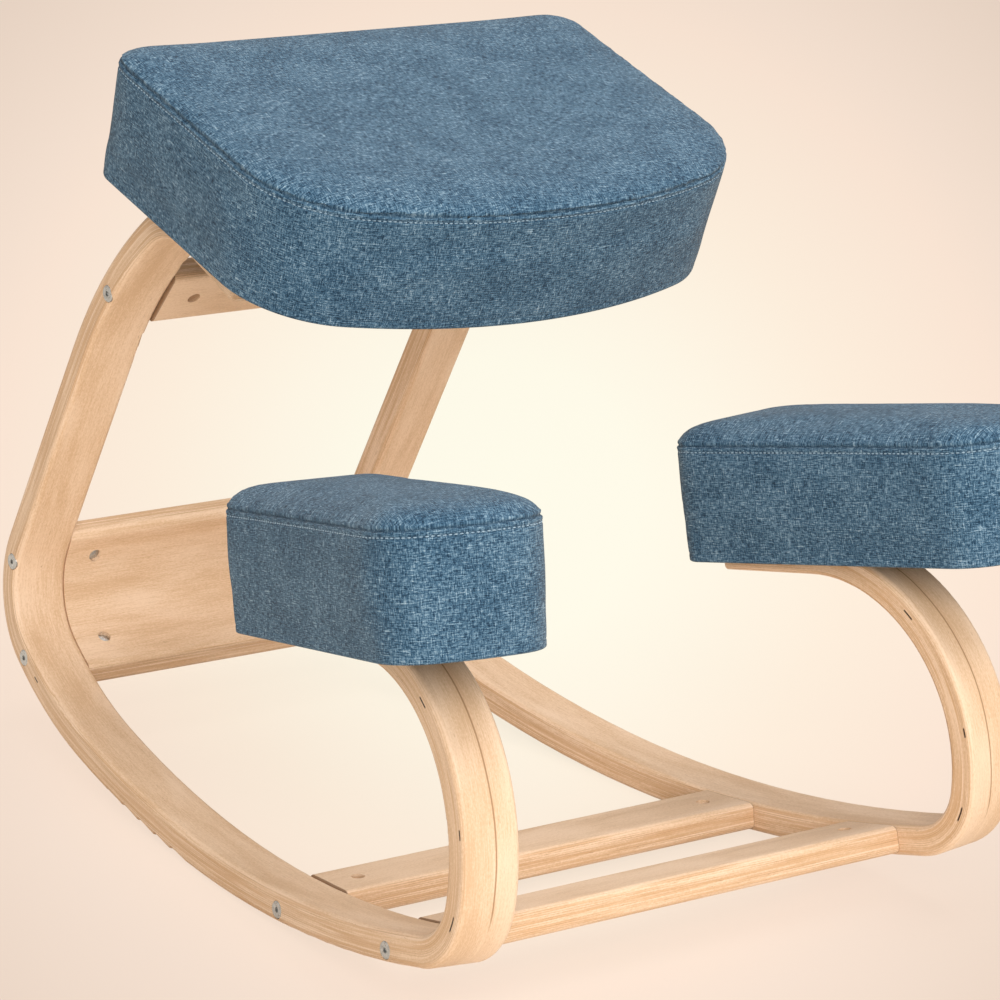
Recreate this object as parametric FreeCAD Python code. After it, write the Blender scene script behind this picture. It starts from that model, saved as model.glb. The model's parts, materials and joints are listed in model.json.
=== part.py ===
import FreeCAD, Part
import math
import os

os.makedirs("parts", exist_ok=True)
V = FreeCAD.Vector
X_AXIS = V(1, 0, 0)
Y_AXIS = V(0, 1, 0)
Z_AXIS = V(0, 0, 1)

# Side rails: one bent lamination each, its section and the long edges' rounding
rail_width = 45.0
rail_thick = 23.0
rail_edge_r = 4.5

# Stance of the rails: outer distance at the frame's datum, opening to the front, leaning in at the top
track = 452.0
splay_deg = 4.9
lean_deg = 2.87
rest_tilt_deg = -5.3

# Rail outline along its outer face, from the seat end round to the knee end
seat_slope_deg = 20.5
knee_slope_deg = 7.8
seat_end_len = 80.0
top_bend_r = 78.0
shoulder_bend_r = 350.0
shoulder_bend_deg = 26.3
slope_deg = 58.3
slope_len = 195.5
rear_bend_r = 74.5
rear_bend_deg = 85.9
heel_r = 360.0
heel_deg = 19.2
rocker_r = 1090.0
rocker_deg = 27.7
toe_r = 64.3
toe_deg = 70.7
curl_r = 145.7
knee_end_len = 90.0
rear_bend_start_y = 404.7
rear_bend_start_z = 139.2

# Crossbars cut from one flat stock, and the bent rear board
bar_width = 55.0
bar_thick = 21.0
bar_edge_r = 5.0
top_bar_along_shoulder = 83.6
top_bar_set_in = 3.0
front_bar_from_toe = 48.0
lower_bar_spacing = 153.0
lower_bar_set_in = 1.5
board_thick = 20.0
board_above_bend = 12.0
board_below_bend = 35.0
board_edge_r = 7.0
board_upper_bolt_inset = 26.6
board_lower_bolt_inset = 32.0

# Crossbar bolts and their barrel nuts
bolt_r = 3.0
bolt_hole_r = 3.4
thread_clearance = 0.05
bolt_head_r = 6.5
bolt_head_h = 3.4
bolt_head_round = 0.8
head_clearance = 0.2
socket_r = 2.2
socket_depth = 2.0
barrel_from_end = 26.0
barrel_r = 5.0
barrel_len = 13.0
barrel_clearance = 0.2
bolt_past_barrel = 2.0
bolt_way_past_end = 1.0

# Seat cushion: outline seen from above, thickness to the seam, and crown
seat_width = 422.0
seat_side_depth = 244.0
seat_bow = 50.0
seat_front_r = 88.0
seat_rear_r = 26.0
seat_band = 86.8
seat_crown = 6.0
seat_overhang = 117.0

# Knee cushions
knee_width = 123.0
knee_length = 289.0
knee_bow = 5.0
knee_front_r = 30.0
knee_rear_r = 16.0
knee_band = 80.5
knee_crown = 21.0
knee_outset = 13.0
knee_toe_out_deg = 5.6
knee_overhang = 13.0
knee_land_depth = 1.2
seat_land_depth = 1.3
rim_drop = 10.2

# Cushion build-up
seat_board_t = 12.0
knee_board_t = 12.0
cover_t = 1.2
hem_t = 2.4
liner_t = 0.8
liner_clearance = 1.0
cover_margin = 30.0
foam_clearance = 0.3
band_draw_in = 1.5
hem_draw_in = 3.0
shoulder_r = 5.0
shoulder_share = 0.3
least_corner_r = 3.0
crown_steps = 6
crown_cap = 0.12

# Cushion fixings: bolts from below into tee nuts
fix_head_r = 5.5
fix_head_round = 1.0
bolt_end_gap = 0.5
washer_r = 9.0
washer_t = 1.5
spot_face_r = 9.6
spot_face_depth = 1.0
tee_flange_r = 9.5
tee_flange_t = 1.2
tee_sleeve_r = 4.2
tee_sleeve_len = 9.0
seat_fix_inset = 18.0
seat_fix_pitch = 42.0
knee_fix_inset = 24.0
knee_fix_pitch = 45.0

# A length well past the chair for cutting tools, and one that just passes through a face
far = 2000.0
through = 1.0
tiny = 0.01


# A path of straight runs and bends in the rail's own plane, offset inwards by depth
class RailPath:
    def __init__(self, y, z, heading_deg, runs):
        self.runs = []
        heading = math.radians(heading_deg)
        for name, length, radius, turn_deg in runs:
            self.runs.append((name, y, z, heading, length, radius, math.radians(turn_deg)))
            if radius is None:
                y += length * math.cos(heading)
                z += length * math.sin(heading)
            else:
                new_heading = heading - math.radians(turn_deg)
                cy = y + radius * math.sin(heading)
                cz = z - radius * math.cos(heading)
                y = cy - radius * math.sin(new_heading)
                z = cz + radius * math.cos(new_heading)
                heading = new_heading
        self.end = (y, z, heading)

    def named(self, name):
        return next(run for run in self.runs if run[0] == name)

    def at(self, name, along, depth):
        """Point and heading a distance along the named run, measured on the lamination's centre line."""
        _, y, z, heading, length, radius, turn = self.named(name)
        if radius is None:
            y += along * math.cos(heading)
            z += along * math.sin(heading)
        else:
            middle_r = radius - rail_thick / 2
            step = along / middle_r
            cy = y + radius * math.sin(heading)
            cz = z - radius * math.cos(heading)
            heading -= step
            y = cy - radius * math.sin(heading)
            z = cz + radius * math.cos(heading)
        return y + depth * math.sin(heading), z - depth * math.cos(heading), heading

    def length(self, name):
        _, y, z, heading, length, radius, turn = self.named(name)
        return length if radius is None else (radius - rail_thick / 2) * turn


def to_vector(point):
    return V(0, point[0], point[1])


def path_edges(path, pieces, depth):
    """Edges along stretches of the path: each piece is a run's name with where it starts and ends."""
    edges = []
    for name, start, end in pieces:
        first = to_vector(path.at(name, start, depth))
        last = to_vector(path.at(name, end, depth))
        if path.named(name)[5] is None:
            edges.append(Part.makeLine(first, last))
        else:
            middle = to_vector(path.at(name, (start + end) / 2, depth))
            edges.append(Part.Arc(first, middle, last).toShape())
    return edges


def path_band(path, pieces, depth_out, depth_in, width):
    """A solid band that follows the path between two depths and runs along +X for its width."""
    outer = path_edges(path, pieces, depth_out)
    inner = path_edges(path, pieces, depth_in)
    name, start, _ = pieces[0]
    last_name, _, end = pieces[-1]

    def cap(run, along):
        inside = to_vector(path.at(run, along, depth_in))
        return Part.makeLine(inside, to_vector(path.at(run, along, depth_out)))

    caps = [cap(name, start), cap(last_name, end)]
    wire = Part.Wire(Part.__sortEdges__(caps + outer + inner))
    return Part.Face(wire).extrude(V(width, 0, 0))


def rail_path():
    top_turn = slope_deg + seat_slope_deg - shoulder_bend_deg
    turns = slope_deg + rear_bend_deg + heel_deg + rocker_deg + toe_deg
    curl_deg = 360.0 + knee_slope_deg - turns
    runs = [
        ("seat_end", seat_end_len, None, 0),
        ("top_bend", 0, top_bend_r, top_turn),
        ("shoulder", 0, shoulder_bend_r, shoulder_bend_deg),
        ("slope", slope_len, None, 0),
        ("rear_bend", 0, rear_bend_r, rear_bend_deg),
        ("heel", 0, heel_r, heel_deg),
        ("rocker", 0, rocker_r, rocker_deg),
        ("toe", 0, toe_r, toe_deg),
        ("curl", 0, curl_r, curl_deg),
        ("knee_end", knee_end_len, None, 0),
    ]
    trial = RailPath(0, 0, seat_slope_deg, runs)
    _, y, z, _, _, _, _ = trial.named("rear_bend")
    return RailPath(rear_bend_start_y - y, rear_bend_start_z - z, seat_slope_deg, runs)


path = rail_path()
rail_turn = FreeCAD.Rotation(Z_AXIS, -splay_deg).multiply(FreeCAD.Rotation(Y_AXIS, lean_deg))
rail_frame = FreeCAD.Placement(V(-track / 2, 0, 0), rail_turn)


def placed(shape, placement):
    copy = shape.copy()
    copy.transformShape(placement.toMatrix(), True)
    return copy


def mirrored(shape):
    return shape.mirror(V(0, 0, 0), X_AXIS)


def joined(solids):
    return Part.makeCompound(solids)


def picked_edges(shape, wanted):
    return [edge for edge in shape.Edges if wanted(edge)]


# A member that runs from rail to rail is trimmed by the rails' inner sides
def trim_to_rails(member):
    block = Part.makeBox(far, 2 * far, 2 * far, V(rail_width - far, -far, -far))
    outside = placed(block, rail_frame)
    return member.cut(outside).cut(mirrored(outside))


def member_place(local_y, local_z):
    world = rail_frame.multVec(V(rail_width, local_y, local_z))
    return world.y - local_y, world.z - local_z


def rail_x(y, z, from_outside):
    """X of the left rail's side plane at a height and depth of the chair, at a width from its outer side."""
    normal = rail_turn.multVec(X_AXIS)
    point = rail_frame.multVec(V(from_outside, 0, 0))
    return point.x - (normal.y * (y - point.y) + normal.z * (z - point.z)) / normal.x


# One crossbar joint on the left side: bolt centre line, barrel direction and cutters
class CrossJoint:
    def __init__(self, y, z, heading):
        self.y = y
        self.z = z
        self.inward = V(0, math.sin(heading), -math.cos(heading))
        self.x_out = rail_x(y, z, 0)
        self.x_in = rail_x(y, z, rail_width)
        self.x_barrel = self.x_in + barrel_from_end

    def along_x(self, start, end, radius):
        return Part.makeCylinder(radius, end - start, V(start, self.y, self.z), X_AXIS)

    def rail_cutter(self):
        start = self.x_out - rail_width
        clearance_hole = self.along_x(start, self.x_in + rail_width / 2, bolt_hole_r)
        recess = self.along_x(start, self.x_out + bolt_head_h, bolt_head_r + head_clearance)
        return clearance_hole.fuse(recess)

    def shank_end(self):
        return self.x_barrel + barrel_r + bolt_past_barrel

    def member_cutter(self, depth_of_face):
        end = self.shank_end() + bolt_way_past_end
        bolt_way = self.along_x(self.x_in - rail_width / 2, end, bolt_hole_r)
        mouth = V(self.x_barrel, self.y, self.z) + self.inward * (depth_of_face + bar_thick)
        barrel_way = Part.makeCylinder(
            barrel_r + barrel_clearance, depth_of_face + bar_thick + barrel_len / 2, mouth, self.inward * -1
        )
        return bolt_way.fuse(barrel_way)

    def bolt(self):
        head = self.along_x(self.x_out, self.x_out + bolt_head_h, bolt_head_r)
        rim = picked_edges(head, lambda edge: abs(edge.CenterOfMass.x - self.x_out) < tiny)
        head = head.makeFillet(bolt_head_round, rim)
        socket = hex_prism(V(self.x_out, self.y, self.z), X_AXIS, socket_r, socket_depth)
        shank = self.along_x(self.x_out + bolt_head_h, self.shank_end(), bolt_r)
        return head.fuse(shank).cut(socket).removeSplitter()

    def barrel_nut(self):
        centre = V(self.x_barrel, self.y, self.z)
        body = Part.makeCylinder(barrel_r, barrel_len, centre - self.inward * (barrel_len / 2), self.inward)
        reach = 2 * barrel_r
        thread = self.along_x(self.x_barrel - reach, self.x_barrel + reach, bolt_r + thread_clearance)
        return body.cut(thread)


def hex_prism(centre, direction, across_r, depth):
    turn = FreeCAD.Rotation(Z_AXIS, direction)
    corners = []
    for step in range(7):
        angle = math.radians(60 * step)
        corners.append(centre + turn.multVec(V(across_r * math.cos(angle), across_r * math.sin(angle), 0)))
    return Part.Face(Part.makePolygon(corners)).extrude(direction * depth)


# Crossbars: flat stock laid across at a point of the rail's path
def crossbar(centre_y, centre_z, heading):
    half_w = bar_width / 2
    half_t = bar_thick / 2
    bar = Part.makeBox(far, bar_width, bar_thick, V(-far / 2, -half_w, -half_t))
    bar = bar.makeFillet(bar_edge_r, picked_edges(bar, lambda edge: edge.Length > far - through))
    bar.rotate(V(0, 0, 0), X_AXIS, math.degrees(heading))
    bar.translate(V(0, centre_y, centre_z))
    return trim_to_rails(bar)


def member_joint(name, along):
    local_y, local_z, heading = path.at(name, along, rail_thick / 2)
    shift_y, shift_z = member_place(local_y, local_z)
    return CrossJoint(local_y + shift_y, local_z + shift_z, heading)


rocker_len = path.length("rocker")
front_bar_at = rocker_len - front_bar_from_toe
rear_bar_at = front_bar_at - lower_bar_spacing
top_joint = member_joint("shoulder", top_bar_along_shoulder)
front_joint = member_joint("rocker", front_bar_at)
rear_joint = member_joint("rocker", rear_bar_at)
board_upper_joint = member_joint("rear_bend", board_upper_bolt_inset - board_above_bend)
board_lower_joint = member_joint("heel", board_below_bend - board_lower_bolt_inset)


def build_crossbar(joint, heading, set_in):
    centre = V(0, joint.y, joint.z) + joint.inward * set_in
    bar = crossbar(centre.y, centre.z, heading)
    cutter = joint.member_cutter(bar_thick / 2)
    return bar.cut(cutter).cut(mirrored(cutter))


def heading_at(name, along):
    return path.at(name, along, 0)[2]


def build_rear_board():
    pieces = [
        ("slope", slope_len - board_above_bend, slope_len),
        ("rear_bend", 0, path.length("rear_bend")),
        ("heel", 0, board_below_bend),
    ]
    side_gap = (rail_thick - board_thick) / 2
    band = path_band(path, pieces, side_gap, rail_thick - side_gap, far)
    ends = [to_vector(path.at("slope", slope_len - board_above_bend, rail_thick / 2))]
    ends.append(to_vector(path.at("heel", board_below_bend, rail_thick / 2)))

    def at_board_edge(edge):
        middle = edge.CenterOfMass
        near = min((V(0, middle.y, middle.z) - end).Length for end in ends)
        return edge.Length > far - through and near < board_thick

    band = band.makeFillet(board_edge_r, picked_edges(band, at_board_edge))
    local_y, local_z, _ = path.at("rear_bend", path.length("rear_bend") / 2, rail_thick / 2)
    shift_y, shift_z = member_place(local_y, local_z)
    band.translate(V(-far / 2, shift_y, shift_z))
    board = trim_to_rails(band)
    for joint in (board_upper_joint, board_lower_joint):
        cutter = joint.member_cutter(board_thick / 2)
        board = board.cut(cutter).cut(mirrored(cutter))
    return board


# Cushion outlines: a straight rear edge, straight sides, rounded corners and a bowed front
def outline(width, side_depth, bow, front_r, rear_r, rear_y, z):
    half = width / 2
    front_y = rear_y - side_depth - bow
    bow_r = (half * half + bow * bow) / (2 * bow)
    bow_y = front_y + bow_r
    corner_x = half - front_r
    corner_y = bow_y - math.sqrt((bow_r - front_r) ** 2 - corner_x ** 2)
    lean = math.atan2(corner_x, bow_y - corner_y)
    touch_x = bow_r * math.sin(lean)
    touch_y = bow_y - bow_r * math.cos(lean)
    middle_angle = (lean + math.pi / 2) / 2
    corner_mid = (corner_x + front_r * math.sin(middle_angle), corner_y - front_r * math.cos(middle_angle))
    rear_mid = rear_r * math.sqrt(0.5)

    def arc(a, b, c):
        return Part.Arc(V(a[0], a[1], z), V(b[0], b[1], z), V(c[0], c[1], z)).toShape()

    def line(a, b):
        return Part.makeLine(V(a[0], a[1], z), V(b[0], b[1], z))

    rear_in = half - rear_r
    rear_low = rear_y - rear_r
    return Part.Wire([
        line((-rear_in, rear_y), (rear_in, rear_y)),
        arc((rear_in, rear_y), (rear_in + rear_mid, rear_low + rear_mid), (half, rear_low)),
        line((half, rear_low), (half, corner_y)),
        arc((half, corner_y), corner_mid, (touch_x, touch_y)),
        arc((touch_x, touch_y), (0, front_y), (-touch_x, touch_y)),
        arc((-touch_x, touch_y), (-corner_mid[0], corner_mid[1]), (-half, corner_y)),
        line((-half, corner_y), (-half, rear_low)),
        arc((-half, rear_low), (-rear_in - rear_mid, rear_low + rear_mid), (-rear_in, rear_y)),
    ])


class Cushion:
    def __init__(self, width, side_depth, bow, front_r, rear_r, band, crown, board_t):
        self.width = width
        self.side_depth = side_depth
        self.bow = bow
        self.front_r = front_r
        self.rear_r = rear_r
        self.band = band
        self.crown = crown
        self.board_t = board_t
        self.floor = liner_t + cover_t

    def depth(self):
        return self.side_depth + self.bow

    def ring(self, inset, z):
        """The outline drawn in all round by an inset."""
        return outline(
            self.width - 2 * inset, self.side_depth - 2 * inset, self.bow,
            max(self.front_r - inset, least_corner_r), max(self.rear_r - inset, least_corner_r), -inset, z,
        )

    def crown_ring(self, scale, z):
        """A ring of the top: the outline shrunk about the middle of the cushion."""
        return outline(
            self.width * scale, self.side_depth * scale, self.bow * scale, self.front_r * scale,
            self.rear_r * scale, -self.depth() / 2 * (1 - scale), z,
        )

    def body(self, shell, low):
        """The cushion's form, drawn in at mid height and crowned, reduced all round by shell."""
        top = self.band - shell
        rings = [
            self.ring(hem_draw_in + shell, low),
            self.ring(band_draw_in + shell, low + rim_drop * 2),
            self.ring(band_draw_in + shell, (top + low) / 2),
            self.ring(shell, top - shoulder_r),
            self.ring(shoulder_r * shoulder_share + shell, top - shoulder_r * shoulder_share),
        ]
        edge = 1 - 2 * (shoulder_r + shell) / min(self.width, self.depth())
        for step in range(crown_steps + 1):
            share = step / crown_steps
            scale = edge + (crown_cap - edge) * share
            rise = self.crown * (1 - (scale / edge) ** 2)
            rings.append(self.crown_ring(scale, top + rise))
        return Part.makeLoft(rings, True, True)

    def hem_inner(self):
        return hem_draw_in + hem_t

    def cover(self):
        outer = self.body(0, -rim_drop)
        hollow = self.body(cover_t, -rim_drop)
        below = Part.makeBox(far, far, far, V(-far / 2, -far / 2, self.floor - far))
        deep = 2 * rim_drop
        recess = Part.Face(self.ring(self.hem_inner(), -deep)).extrude(V(0, 0, deep + liner_t))
        window = Part.Face(self.ring(cover_margin, 0)).extrude(V(0, 0, self.floor + through))
        return outer.cut(hollow.cut(below)).cut(recess).cut(window)

    def board(self):
        edge = cover_t + hem_draw_in + foam_clearance
        return Part.Face(self.ring(edge, self.floor)).extrude(V(0, 0, self.board_t))

    def foam(self):
        shell = cover_t + foam_clearance
        form = self.body(shell, -rim_drop)
        below = Part.makeBox(far, far, far, V(-far / 2, -far / 2, self.floor + self.board_t - far))
        return form.cut(below)

    def liner(self):
        return Part.Face(self.ring(self.hem_inner() + liner_clearance, 0)).extrude(V(0, 0, liner_t))


# A fixing from below: washer and bolt under the rail, tee nut in the board
class Fixing:
    def __init__(self, x, y, rail_left, cushion):
        self.x = x
        self.y = y
        self.under = -rail_left + spot_face_depth
        self.board_low = cushion.floor
        self.board_top = cushion.floor + cushion.board_t

    def post(self, radius, low, high):
        return Part.makeCylinder(radius, high - low, V(self.x, self.y, low), Z_AXIS)

    def rail_cutter(self):
        way = self.post(bolt_hole_r, self.under - rail_thick, rail_thick)
        spot = self.post(spot_face_r, self.under - rail_thick, self.under)
        return way.fuse(spot)

    def liner_cutter(self):
        return self.post(bolt_hole_r, -through, self.board_low + through)

    def board_cutter(self):
        top = self.board_top + through
        way = self.post(tee_sleeve_r + thread_clearance, self.board_low - through, top)
        return way.fuse(self.post(tee_flange_r + head_clearance, self.board_top - tee_flange_t, top))

    def tee_nut(self):
        shoulder = self.board_top - tee_flange_t
        flange = self.post(tee_flange_r, shoulder, self.board_top)
        sleeve = self.post(tee_sleeve_r, shoulder - tee_sleeve_len, shoulder)
        thread = self.post(bolt_r + thread_clearance, self.board_low - through, self.board_top + through)
        return flange.fuse(sleeve).cut(thread).removeSplitter()

    def washer(self):
        low = self.under - washer_t
        return self.post(washer_r, low, self.under).cut(self.post(bolt_hole_r, low - through, through))

    def bolt(self):
        head_top = self.under - washer_t
        head_low = head_top - bolt_head_h
        head = self.post(fix_head_r, head_low, head_top)
        rim = picked_edges(head, lambda edge: abs(edge.CenterOfMass.z - head_low) < tiny)
        head = head.makeFillet(fix_head_round, rim)
        socket = hex_prism(V(self.x, self.y, head_low), Z_AXIS, socket_r, socket_depth)
        shank = self.post(bolt_r, head_top, self.board_top - bolt_end_gap)
        return head.fuse(shank).cut(socket).removeSplitter()


# Where the seat's underside lies: on the seat ends' outer face, its rear edge behind the top bend
seat_rear = path.at("seat_end", seat_end_len + seat_overhang, seat_land_depth)
seat_centre = rail_frame.multVec(V(rail_width / 2, seat_rear[0], seat_rear[1]))
seat_frame = FreeCAD.Placement(V(0, seat_centre.y, seat_centre.z), FreeCAD.Rotation(X_AXIS, seat_slope_deg))

# Where a knee cushion's underside lies: on the knee end's outer face, past the rail's free end
knee_turn = FreeCAD.Rotation(Z_AXIS, -splay_deg - knee_toe_out_deg).multiply(
    FreeCAD.Rotation(X_AXIS, -knee_slope_deg)
)
knee_half = knee_length / 2
knee_middle = path.at("knee_end", knee_end_len + knee_overhang - knee_half, knee_land_depth)
knee_centre = rail_frame.multVec(V(rail_width / 2 - knee_outset, knee_middle[0], knee_middle[1]))
knee_origin = knee_centre + knee_turn.multVec(V(0, knee_half, 0))
knee_frame = FreeCAD.Placement(knee_origin, knee_turn)

seat = Cushion(
    seat_width, seat_side_depth, seat_bow, seat_front_r, seat_rear_r, seat_band, seat_crown, seat_board_t
)
knee = Cushion(
    knee_width, knee_length - knee_bow, knee_bow, knee_front_r, knee_rear_r,
    knee_band, knee_crown, knee_board_t,
)


def fixing_place(name, along, frame):
    """A spot on the rail's centre line, in the frame of the cushion above it."""
    y, z, _ = path.at(name, along, 0)
    world = rail_frame.multVec(V(rail_width / 2, y, z))
    return frame.inverse().multVec(world)


def fixings(name, places, frame, cushion, land_depth):
    made = []
    for along in places:
        spot = fixing_place(name, along, frame)
        made.append(Fixing(spot.x, spot.y, rail_thick - land_depth, cushion))
    return made


seat_fixings = fixings(
    "seat_end", (seat_fix_inset, seat_fix_inset + seat_fix_pitch), seat_frame, seat, seat_land_depth
)
knee_places = (knee_end_len - knee_fix_inset - knee_fix_pitch, knee_end_len - knee_fix_inset)
knee_fixings = fixings("knee_end", knee_places, knee_frame, knee, knee_land_depth)


def build_rail():
    pieces = [(run[0], 0, path.length(run[0])) for run in path.runs]
    rail = path_band(path, pieces, 0, rail_thick, rail_width)

    def on_a_side(edge):
        return edge.BoundBox.XLength < tiny and edge.Length > rail_thick + through

    rail = rail.makeFillet(rail_edge_r, picked_edges(rail, on_a_side))
    rail = placed(rail, rail_frame)
    slab = Part.makeBox(far, far, far / 2, V(-far / 2, -far / 2, 0))
    rail = rail.cut(placed(slab, seat_frame)).cut(placed(slab.common(knee_reach()), knee_frame))
    for joint in (top_joint, front_joint, rear_joint, board_upper_joint, board_lower_joint):
        rail = rail.cut(joint.rail_cutter())
    for fixing in seat_fixings:
        rail = rail.cut(placed(fixing.rail_cutter(), seat_frame))
    for fixing in knee_fixings:
        rail = rail.cut(placed(fixing.rail_cutter(), knee_frame))
    return rail


def knee_reach():
    """The space over the knee cushion's footprint, so that its land cuts nothing else of the rail."""
    return Part.makeBox(2 * knee_width, knee_length, far / 4, V(-knee_width, -knee_length, -far / 8))


def build_cushion(cushion, frame, cushion_fixings, both_sides):
    """Board, foam, cover and liner with their fixings, in the frame of the chair."""
    board = cushion.board()
    liner = cushion.liner()
    foam = cushion.foam()
    for fixing in cushion_fixings:
        cutters = [(fixing.board_cutter(), fixing.liner_cutter())]
        if both_sides:
            cutters.append((mirrored(cutters[0][0]), mirrored(cutters[0][1])))
        for board_cutter, liner_cutter in cutters:
            board = board.cut(board_cutter)
            liner = liner.cut(liner_cutter)
    cover = cushion.cover()
    pieces = {"board": board, "foam": foam, "cover": cover, "liner": liner}
    return {name: placed(shape, frame) for name, shape in pieces.items()}


def fixing_set(cushion_fixings, frame):
    """Bolts, washers and tee nuts of one side, in the frame of the chair."""
    sets = {"bolts": [], "washers": [], "tee_nuts": []}
    for fixing in cushion_fixings:
        sets["bolts"].append(placed(fixing.bolt(), frame))
        sets["washers"].append(placed(fixing.washer(), frame))
        sets["tee_nuts"].append(placed(fixing.tee_nut(), frame))
    return sets


nodes = {}
left_rail = build_rail()
nodes["rail_left"] = left_rail
nodes["rail_right"] = mirrored(left_rail)

nodes["top_crossbar"] = build_crossbar(
    top_joint, heading_at("shoulder", top_bar_along_shoulder), top_bar_set_in
)
nodes["rear_lower_crossbar"] = build_crossbar(
    rear_joint, heading_at("rocker", rear_bar_at), lower_bar_set_in
)
nodes["front_lower_crossbar"] = build_crossbar(
    front_joint, heading_at("rocker", front_bar_at), lower_bar_set_in
)
nodes["rear_board"] = build_rear_board()

bolt_groups = {
    "top_crossbar": [top_joint],
    "rear_board": [board_upper_joint, board_lower_joint],
    "rear_lower_crossbar": [rear_joint],
    "front_lower_crossbar": [front_joint],
}
for name, joints in bolt_groups.items():
    bolts = [joint.bolt() for joint in joints]
    nuts = [joint.barrel_nut() for joint in joints]
    nodes[name + "_bolts"] = joined(bolts + [mirrored(bolt) for bolt in bolts])
    nodes[name + "_barrel_nuts"] = joined(nuts + [mirrored(nut) for nut in nuts])

for name, shape in build_cushion(seat, seat_frame, seat_fixings, True).items():
    nodes["seat_" + name] = shape
for name, shapes in fixing_set(seat_fixings, seat_frame).items():
    nodes["seat_" + name] = joined(shapes + [mirrored(shape) for shape in shapes])

for name, shape in build_cushion(knee, knee_frame, knee_fixings, False).items():
    nodes["knee_left_" + name] = shape
    nodes["knee_right_" + name] = mirrored(shape)
for name, shapes in fixing_set(knee_fixings, knee_frame).items():
    nodes["knee_left_" + name] = joined(shapes)
    nodes["knee_right_" + name] = joined([mirrored(shape) for shape in shapes])

# The chair is set down as it rests, with the origin at the bottom centre of its bounding box
rest_turn = FreeCAD.Placement(V(0, 0, 0), FreeCAD.Rotation(X_AXIS, rest_tilt_deg))
nodes = {name: placed(shape, rest_turn) for name, shape in nodes.items()}
whole = joined(list(nodes.values())).optimalBoundingBox(False)
set_down = FreeCAD.Placement(V(0, -(whole.YMin + whole.YMax) / 2, -whole.ZMin), FreeCAD.Rotation())
for name, shape in nodes.items():
    shape = placed(shape, set_down)
    shape.exportStep("parts/" + name + ".step")
    box = shape.BoundBox
    print(name, len(shape.Solids), "solids", round(shape.Volume / 1000, 2), "cm3", shape.isValid(), box)
print("size", round(whole.XLength, 2), round(whole.YLength, 2), round(whole.ZLength, 2))
print("moved by", set_down.Base)
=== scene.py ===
# %% [markdown]
# A rocking kneeling chair: two side rails bent from birch veneers, three crossbars, a bent board
# at the back and three cushions in blue slub cloth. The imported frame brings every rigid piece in
# at its true place. This lesson dresses it: the rails and the board are copied so that their wood
# can follow the bend, the cushions are rebuilt as soft forms, and the light is a plain studio.

# %% Load the frame
import bmesh
import bpy
import json
import math
import numpy as np
from mathutils import Matrix, Vector


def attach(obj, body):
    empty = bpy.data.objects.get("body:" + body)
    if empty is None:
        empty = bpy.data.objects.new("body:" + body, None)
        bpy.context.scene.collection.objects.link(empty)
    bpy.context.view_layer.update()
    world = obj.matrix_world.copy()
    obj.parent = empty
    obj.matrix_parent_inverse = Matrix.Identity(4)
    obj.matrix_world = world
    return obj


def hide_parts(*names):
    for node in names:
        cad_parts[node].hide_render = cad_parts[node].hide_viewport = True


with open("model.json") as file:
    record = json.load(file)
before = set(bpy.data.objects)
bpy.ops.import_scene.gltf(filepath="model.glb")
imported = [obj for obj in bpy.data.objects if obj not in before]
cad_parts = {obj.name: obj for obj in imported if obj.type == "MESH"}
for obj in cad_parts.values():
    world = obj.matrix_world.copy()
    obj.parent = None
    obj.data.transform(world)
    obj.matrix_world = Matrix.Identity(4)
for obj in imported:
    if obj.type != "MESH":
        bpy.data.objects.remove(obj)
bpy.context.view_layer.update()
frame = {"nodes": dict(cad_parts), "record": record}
nodes = frame["nodes"]

# %% [markdown]
# The chair stands as it rests, which is a few degrees back from the pose in which its outline was
# measured. Every measured place goes through one turn and one shift, so the helpers below hold
# both. Lengths are in metres; the millimetre helper keeps the numbers easy to read.

# %% Lengths, places and colours
MM = 0.001
rest_angle = 5.3
rest_turn = Matrix.Rotation(math.radians(-rest_angle), 3, "X")
rest_shift = Vector((0, -61.469, 61.694)) * MM


def at_rest(x, y, z):
    """A place measured in millimetres on the chair before it is set down."""
    return rest_turn @ (Vector((x, y, z)) * MM) + rest_shift


def tint(red, green, blue):
    """A colour as seen on screen, from 0 to 255, turned into light values."""
    def one(value):
        value /= 255
        return value / 12.92 if value <= 0.04045 else ((value + 0.055) / 1.055) ** 2.4
    return (one(red), one(green), one(blue), 1)


def new_object(name, data):
    piece = bpy.data.objects.new(name, data)
    bpy.context.scene.collection.objects.link(piece)
    return piece


def deselect_all():
    if bpy.context.object and bpy.context.object.mode != "OBJECT":
        bpy.ops.object.mode_set(mode="OBJECT")
    bpy.ops.object.select_all(action="DESELECT")


def make_active(piece):
    deselect_all()
    piece.select_set(True)
    bpy.context.view_layer.objects.active = piece


def edit_all():
    bpy.ops.object.mode_set(mode="EDIT")
    bpy.ops.mesh.select_all(action="SELECT")


def leave_edit():
    bpy.ops.object.mode_set(mode="OBJECT")


print("the chair's middle line starts at", at_rest(0, 0, 0))

# %% [markdown]
# The camera stands in front of the left knee cushion, a little above the seat, and far away with
# a long lens, so the rails hardly converge. Its place and aim were worked out from the crossbars'
# edges and from points that mirror each other on the two rails.

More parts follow.
